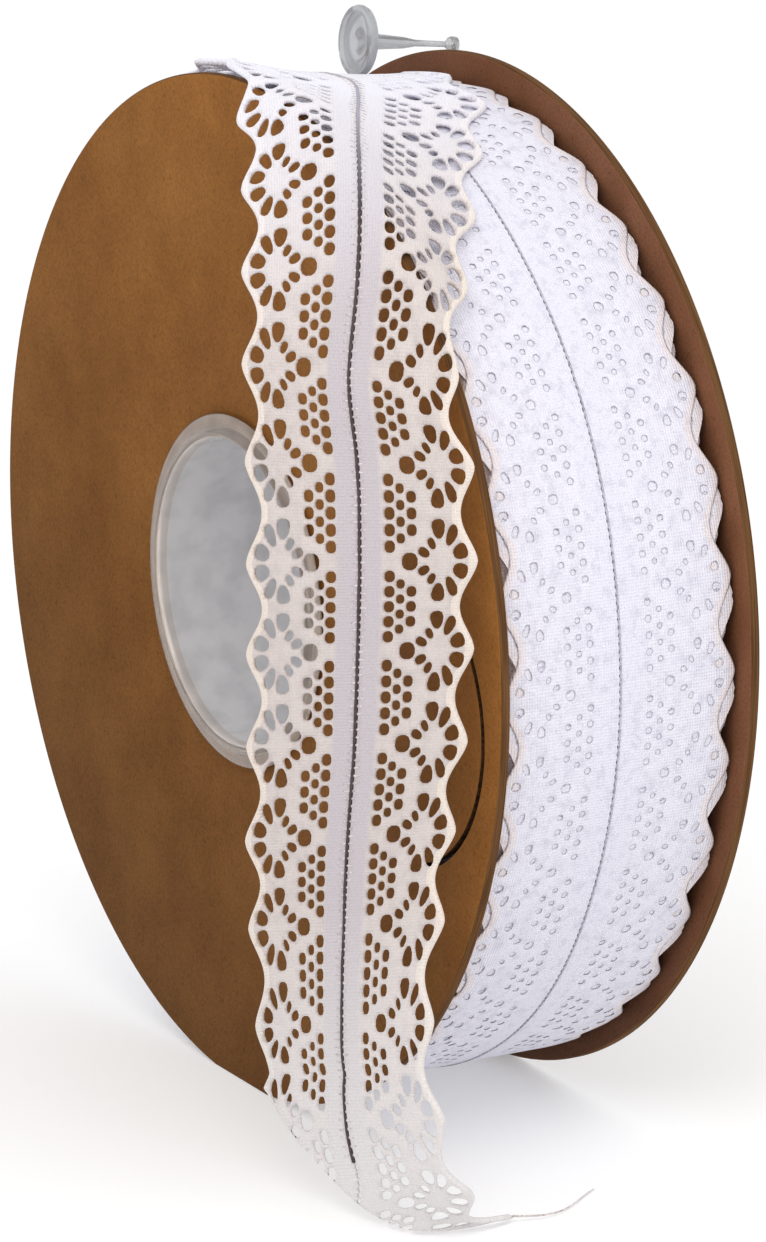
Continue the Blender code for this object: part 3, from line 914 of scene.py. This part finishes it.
def slit_line():
    """The half-moon slit's outline, along one wall and back along the other."""
    arc = np.radians(np.linspace(SLIT_FROM, SLIT_TO, 40))
    walls = []
    for radius in (SLIT_RADIUS - SLIT_WIDTH / 2, SLIT_RADIUS + SLIT_WIDTH / 2):
        across = SLIT_CENTRE[0] + radius * np.cos(arc)
        up = SLIT_CENTRE[1] + radius * np.sin(arc)
        walls.append(np.stack([across, up], axis=1))
    return np.concatenate([walls[0], walls[1][::-1]])


def make_disc(node, inner, outer, slit, materials):
    """A die-cut board disc: flat faces, softly rounded cut edges, a hub hole and maybe the slit."""
    half_flat = math.degrees(math.asin(FOOT_WIDTH / 2 / DISC_RADIUS))
    turns = np.linspace(180.0 + half_flat, 540.0 - half_flat, 300)
    rim_loop = np.radians(turns)
    rim_line = np.stack([np.sin(rim_loop), np.cos(rim_loop)], axis=1) * DISC_RADIUS
    hub_angles = np.radians(np.arange(0.0, 360.0, 2.4))
    hub_line = np.stack([np.sin(hub_angles), np.cos(hub_angles)], axis=1) * HUB_HOLE
    loops = [(rim_line, -0.32), (hub_line, 0.22)]
    if slit:
        loops.append((slit_line(), 0.12))
    low, high = min(inner, outer), max(inner, outer)
    points, faces, slots = [], [], []
    flat_points, flat_edges = [], []
    rings = []
    for loop_number, (line, inset) in enumerate(loops):
        ahead = np.roll(line, -1, axis=0) - np.roll(line, 1, axis=0)
        aside = np.stack([ahead[:, 1], -ahead[:, 0]], axis=1)
        aside /= np.linalg.norm(aside, axis=1)[:, None]
        if inside_outline(line[:1] + aside[:1] * 0.02, line)[0]:
            aside = -aside
        size = abs(inset)
        sign = -1.0 if inset < 0 else 1.0
        # From one face round the cut edge to the other
        profile = [(low, 1.0), (low + 0.12 * size, 0.6), (low + 0.5 * size, 0.12), (low + size, 0.0),
                   (high - size, 0.0), (high - 0.5 * size, 0.12), (high - 0.12 * size, 0.6), (high, 1.0)]
        start = len(points)
        for along, share in profile:
            ring = line + aside * (sign * size * share)
            points.extend((along, y, z) for y, z in ring)
        count = len(line)
        faces += grid_faces(len(profile), count, columns_close=True, start=start)
        # The slit's walls take slot 2, painted near-black as painted shade inside the narrow slit.
        cut_wall = 2 if loop_number == 2 else 1
        for i in range(len(profile) - 1):
            slots += [cut_wall if 1 <= i <= 5 else 0] * count
        first = len(flat_points)
        inset_line = line + aside * (sign * size)
        flat_points.extend(tuple(spot) for spot in inset_line)
        flat_edges.extend((first + j, first + (j + 1) % count) for j in range(count))
        rings.append(inset_line)
    result = delaunay_2d_cdt([Vector(spot) for spot in flat_points], flat_edges, [], 0, 1e-6, False)
    flat = np.array([tuple(spot) for spot in result[0]])
    triangles = np.array([face for face in result[2]])
    middle = flat[triangles].mean(axis=1)
    keep = inside_outline(middle, rings[0])
    for ring in rings[1:]:
        keep &= ~inside_outline(middle, ring)
    for along in (low, high):
        start = len(points)
        points.extend((along, y, z) for y, z in flat)
        for triangle in triangles[keep]:
            faces.append(tuple(start + int(index) for index in triangle))
            slots.append(0)
    spots = np.array(points) * MM + np.array(CENTRE)
    keys = np.round(spots / 1e-7).astype(np.int64)
    _, first, back = np.unique(keys, axis=0, return_index=True, return_inverse=True)
    back = back.reshape(-1)
    welded = [tuple(int(back[index]) for index in face) for face in faces]
    obj = add_mesh(node + "_board", spots[first], welded, materials,
                   face_slots=slots, sharp=40)
    mend(obj)
    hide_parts(node)


def make_core(materials):
    """The clear tube with a soft rounded lip outside each disc."""
    seat = FRONT_FACE + SEAT_GAP
    crest = seat + LIP_THICK
    half = [(0.0, CORE_RADIUS), (seat - 1.0, CORE_RADIUS), (seat, CORE_RADIUS + 0.05),
            (seat, LIP_RADIUS - 0.35), (seat + 0.12, LIP_RADIUS - 0.08), (seat + 0.42, LIP_RADIUS),
            (seat + 0.72, LIP_RADIUS - 0.22), (seat + 0.86, LIP_RADIUS - 0.6),
            (seat + 0.88, LIP_RADIUS - 1.2), (seat + 0.86, CORE_BORE + 1.45),
            (crest - 0.22, CORE_BORE + 1.2), (crest - 0.04, CORE_BORE + 0.92), (crest, CORE_BORE + 0.66),
            (crest - 0.1, CORE_BORE + 0.36), (crest - 0.4, CORE_BORE + 0.12), (crest - 0.9, CORE_BORE),
            (seat - 0.3, CORE_BORE), (0.0, CORE_BORE)]
    profile = half + [(-along, radius) for along, radius in reversed(half) if along > 0.0]
    points, faces = lathe(profile, 160)
    # The bead round the bore has slot 2, the rest of the lip slot 1
    lip = []
    for face in faces:
        spots = [profile[index % len(profile)] for index in face]
        reach = max(abs(along) for along, radius in spots)
        radius = max(radius for along, radius in spots)
        if reach > crest - 0.95 and radius < CORE_BORE + 0.4:
            lip.append(2)
        elif reach > seat + 0.05:
            lip.append(1)
        else:
            lip.append(0)
    obj = add_mesh("hub_core_clear", points, faces, materials, None, lip, 50)
    mend(obj)
    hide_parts("hub_core")


def make_pin(material):
    """The clear pin: dished head, thin stem and end button, lying over the back disc's rim."""
    head, stem, button, end = PIN_HEAD, PIN_STEM, PIN_BUTTON, -PIN_LENGTH
    profile = [(0.12, 0.0), (0.14, 2.0), (0.2, head - 1.1), (0.5, head - 0.85), (0.65, head - 0.5),
               (0.55, head - 0.15), (0.2, head), (-0.25, head), (-0.58, head - 0.15), (-0.65, head - 0.5),
               (-0.5, head - 0.85), (-0.24, head - 1.1), (-0.26, 2.0), (-0.5, 1.6),
               (-PIN_THICK, stem + 0.3), (-4.5, stem + 0.1), (-7.5, stem - 0.1), (-9.5, 0.5),
               (end + 2.2, 0.42), (end + 1.6, 0.7), (end + 1.3, button - 0.1), (end + 1.0, button),
               (end + 0.5, button), (end + 0.15, 1.15), (end, 0.7), (end, 0.0)]
    steps, points = 48, []
    for i in range(steps):
        angle = 2 * math.pi * i / steps
        points.extend((x, r * math.cos(angle), r * math.sin(angle)) for x, r in profile)
    faces = grid_faces(steps, len(profile), rows_close=True)
    lean = Matrix.Rotation(math.radians(PIN_TURN), 4, "X").inverted()
    tilt = Matrix.Rotation(math.radians(PIN_TILT), 4, "Y")
    where = Matrix.Translation(spool_point(PIN_ALONG, PIN_TURN, PIN_REACH)) @ lean @ tilt
    spots = [CENTRE + (where @ Vector(point)) * MM for point in points]
    obj = add_mesh("end_pin_clear", spots, faces, [material], None, None, 50)
    mend(obj, merge=1e-6)
    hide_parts("end_pin")


def add_lace(name, lace, place, material, thick):
    flat, height, triangles = lace
    if thick:
        points, faces, uv = thicken(flat, height, triangles, place, thick)
    else:
        points, normal = place(flat[:, 0], flat[:, 1])
        faces, uv = triangles, flat
    add_mesh(name, points, faces, [material], uv)


def turned_back(cell, count):
    """Lace of so many cells, from run 0 back along the roll."""
    return put_together([repeat(cell, [-(k + 1) * PITCH for k in range(count)])])


def make_roll(material, core_material, first_turn_lace_painted_light, thread):
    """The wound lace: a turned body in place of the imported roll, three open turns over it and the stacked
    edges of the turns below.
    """
    cell = lace_stretch(0.0, PITCH, hole_size=WOUND_HOLES, spacing=1.3)
    coarse = lace_stretch(0.0, PITCH, fine=False, hole_size=WOUND_HOLES, spacing=2.0)
    outer = wound(OUTER_START_RADIUS, OUTER_RADIUS, OUTER_START, OUTER_SEED, EDGE_DROOP)
    add_lace("roll_outer_turn", turned_back(cell, OUTER_CELLS), outer, material, OUTER_THICK)
    open_lace = turned_back(coarse, OUTER_CELLS)
    for count, (radius, start, seed) in enumerate(LOWER_TURNS):
        place = wound(radius, radius, start, seed, EDGE_DROOP)
        add_lace(f"roll_turn_{count + 2}", open_lace, place, material, 0.0)
    parts = []
    uv_parts = []
    for count in range(STACKED_EDGES):
        points, faces, uv = edge_strip(STACK_RADIUS - STACK_STEP * count, 40 + 7 * count)
        parts.append((points, faces))
        uv_parts.append(uv)
    points, faces = join_parts(parts)
    add_mesh("roll_stacked_edges", points, faces, [material], np.concatenate(uv_parts))
    body_points, body_faces, body_uv = roll_body()
    body = add_mesh("roll_body", body_points, body_faces, [core_material], body_uv, None, 60)
    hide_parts("lace_roll")
    inner = wound(FIRST_RADIUS, FIRST_RADIUS, FIRST_START, FIRST_SEED, 0.0, 0.0)
    add_lace("roll_first_turn", turned_back(coarse, FIRST_CELLS), inner, first_turn_lace_painted_light, 0.0)
    runs = -np.arange(0.0, OUTER_CELLS * PITCH, 1.2)
    spots, normals = outer(runs, np.zeros_like(runs))
    points, faces = tube(spots + normals * 0.1 * MM, 0.14 * MM, 6)
    add_mesh("roll_centre_thread", points, faces, [thread])


def edge_strip(radius, seed):
    """Both scalloped edges of one turn, as narrow strips."""
    cells = round(2 * math.pi * radius / PITCH)
    steps = cells * 14
    shift = 5.3 * seed
    points, faces, uv = [], [], []
    turn = np.arange(steps) * 360.0 / steps
    run = np.arange(steps) * cells * PITCH / steps + shift
    for side in (1.0, -1.0):
        edge = scallop_edge(run) - 0.45 + 0.25 * wobble(run, seed, 47.0)
        edge = np.minimum(edge, 18.8)
        start = len(points)
        insets = (0.0, 0.1, 0.45, 1.0, STRIP_WIDTH)
        lifts = (0.0, 0.14, 0.2, 0.08, 0.0)
        sag = 0.25 * wobble(run, seed + side, 31.0)
        for inset, lift in zip(insets, lifts):
            reach = radius + lift + sag * (1 - inset / STRIP_WIDTH) - ROLL_SAG * np.cos(np.radians(turn))
            spots = spool_points(side * (edge - inset), turn, reach)
            points.extend(spots)
            uv.extend(zip(run, side * (edge - inset)))
        faces += grid_faces(len(insets), steps, columns_close=True, start=start)
    return np.array(points), faces, np.array(uv)


def roll_body():
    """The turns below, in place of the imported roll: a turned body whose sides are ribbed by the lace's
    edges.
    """
    steps = BODY_RIBS * 10
    turn = np.arange(steps) * 360.0 / steps
    half = [(0.0, BODY_RADIUS), (9.0, BODY_RADIUS), (14.6, 71.53), (15.6, 71.25), (16.1, 70.45)]
    radius = 69.4
    while radius > BODY_INSIDE + 1.0:
        half.append((16.5, radius))
        half.append((15.9, radius - 0.45))
        radius -= BODY_RIB
    half += [(16.9, BODY_INSIDE + 0.4), (16.5, BODY_INSIDE), (9.0, BODY_INSIDE), (0.0, BODY_INSIDE)]
    mirrored = [(-along, r) for along, r in reversed(half) if along > 0.0]
    profile = np.array(half + mirrored)
    points, uv = [], []
    for i in range(steps):
        side = np.sign(profile[:, 0])
        beat = 0.4 * np.sin(math.radians(turn[i]) * BODY_RIBS + 2.1 * profile[:, 1])
        along = profile[:, 0] + side * beat * (np.abs(profile[:, 0]) > 15.8)
        low = ROLL_SAG * math.cos(math.radians(turn[i])) * np.clip((profile[:, 1] - 40.0) / 30.0, 0.0, 1.0)
        points.append(spool_points(along, turn[i], profile[:, 1] - low))
        uv.append(np.stack([np.full(len(profile), math.radians(turn[i]) * 71.0), along], axis=1))
    faces = grid_faces(steps, len(profile), rows_close=True, columns_close=True)
    return np.concatenate(points), faces, np.concatenate(uv)


def make_loose_end(material, dark_thread, rung_thread, pale_thread):
    """The loose end: real lace, its dark centre thread with rungs, and a stray yarn."""
    cell = lace_stretch(0.0, PITCH, hole_size=LOOSE_HOLES)
    body = repeat(cell, [k * PITCH for k in range(FIRST_CELL, CUT_CELL)])
    cut = ((CUT_STARTS - 0.01, -HALF - 0.01), (CUT_ENDS, HALF))
    end = lace_stretch(CUT_CELL * PITCH, RUNS[-1], cut=cut, hole_size=LOOSE_HOLES)
    lace = put_together([body, end])
    flat, height, triangles = lace
    height = height * (1.0 - 0.25 * np.clip((flat[:, 0] - 170.0) / 20.0, 0.0, 1.0))
    points, faces, uv = thicken(flat, height, triangles, on_loose_end, LACE_THICK)
    points[:, 2] = np.maximum(points[:, 2], 0.00005)
    sheet = add_mesh("loose_end_lace", points, faces, [material], uv)
    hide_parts("loose_end")

    runs = np.arange(RUNS[0], 168.0, 0.9)
    spots, normals = on_loose_end(runs, 0.06 * wobble(runs, 5, 21.0))
    points, faces = tube(spots + normals * 0.2 * MM, (0.27 + 0.05 * wobble(runs, 8, 9.0)) * MM, 6)
    uv = np.stack([np.repeat(runs, 6), np.zeros(6 * len(runs))], axis=1)
    thread = add_mesh("loose_end_thread", points, faces, [dark_thread], uv)

    rungs = []
    for run in np.arange(RUNS[0] + PITCH / LADDER_STEPS, 167.0, PITCH / LADDER_STEPS):
        skew = 0.12 * math.sin(run * 2.3)
        reach = 1.15 + 0.25 * math.sin(run * 5.1)
        line_run = np.array([run - skew, run, run, run, run + skew])
        line_across = np.array([-reach, -0.45, 0.0, 0.45, reach])
        spots, normals = on_loose_end(line_run, line_across)
        arch = np.array([0.28, 0.36, 0.1, 0.36, 0.28])[:, None] * MM
        rungs.append(tube(spots + normals * arch, 0.12 * MM, 5))
    points, faces = join_parts(rungs)
    rung_obj = add_mesh("loose_end_rungs", points, faces, [rung_thread])

    tip, normal = on_loose_end(np.array([190.5]), np.array([18.5]))
    start = tip[0]
    end_spot = np.array(CENTRE) + np.array([0.0, 68.0, 0.0]) * MM
    end_spot[2] = 0.00025
    share = np.linspace(0.0, 1.0, 24)[:, None]
    path = start + (end_spot - start) * share
    path[:, 1] += 0.0022 * np.sin(share[:, 0] * math.pi * 1.3)
    path[:, 2] = 0.0003 + (start[2] - 0.0003) * (1 - share[:, 0]) ** 2
    points, faces = tube(path, 0.13 * MM * np.linspace(1.2, 0.7, 24), 6)
    stray = add_mesh("loose_end_yarn", points, faces, [pale_thread])


def main():
    make_camera()
    make_studio()
    kraft_front = kraft_material("kraft_front", (0.155, 0.058, 0.0095), (0.190, 0.075, 0.0145),
                                 (0.235, 0.098, 0.022))
    # The back disc's board is painted darker and redder than the front's: painted shade, as its inner face
    # lies in shade behind the front disc and the roll.
    kraft_back_painted_shade = kraft_material("kraft_back_painted_shade", (0.115, 0.044, 0.019), (0.135, 0.055, 0.027),
                                (0.16, 0.07, 0.037))
    edge = board_edge_material()
    make_disc("flange_front", INNER_FACE, FRONT_FACE, True, [kraft_front, edge, slit_shade_material()])
    make_disc("flange_back", -INNER_FACE, -FRONT_FACE, False, [kraft_back_painted_shade, edge])
    clear = clear_material("clear_core", (0.99, 0.98, 1.0), 0.12, 0.5)
    clear_pin = clear_material("clear_pin", (0.60, 0.61, 0.63), 0.15, 0.7)
    # The lip's warm brown tint is painted: the brown board seen through the clear plastic.
    make_core([clear, clear_material("clear_lip_painted_see_through", (0.66, 0.52, 0.42), 0.2, 0.85),
               clear_material("clear_bead", (0.80, 0.74, 0.70), 0.15, 0.45)])
    make_pin(clear_pin)
    wound_lace = lace_material("wound_cotton", (0.78, 0.77, 0.86), (0.76, 0.75, 0.85), (0.71, 0.70, 0.80),
                               (0.79, 0.73, 0.76))
    packed_lace = lace_material("packed_cotton", (0.78, 0.77, 0.87), (0.76, 0.75, 0.86), (0.73, 0.72, 0.83),
                                (0.78, 0.77, 0.87))
    # The loose end's tones are painted shade and light: darker and warmer hanging in front of the board,
    # lighter on the roll and near the floor.
    loose_lace_painted_light = lace_material("loose_cotton_painted_light", (0.65, 0.58, 0.555), (0.55, 0.50, 0.53), (0.57, 0.505, 0.49),
                               (0.77, 0.68, 0.61), (0.84, 0.83, 0.91), (0.74, 0.71, 0.71))
    grey_thread = thread_material("grey_thread", (0.52, 0.51, 0.58))
    dark_thread = thread_material("dark_thread", (0.075, 0.05, 0.055), (0.36, 0.35, 0.42))
    pale_thread = thread_material("pale_thread", (0.78, 0.70, 0.68))
    # The first turn's lace is painted brighter than the wound lace: painted light inside the hub, where
    # little light reaches.
    inner_lace_painted_light = lace_material("inner_cotton_painted_light", (0.93, 0.92, 0.98), (0.9, 0.89, 0.96), (0.84, 0.83, 0.9),
                               (0.93, 0.92, 0.98))
    make_roll(wound_lace, packed_lace, inner_lace_painted_light, grey_thread)
    rung_thread = thread_material("rung_thread", (0.74, 0.69, 0.69))
    make_loose_end(loose_lace_painted_light, dark_thread, rung_thread, pale_thread)


main()
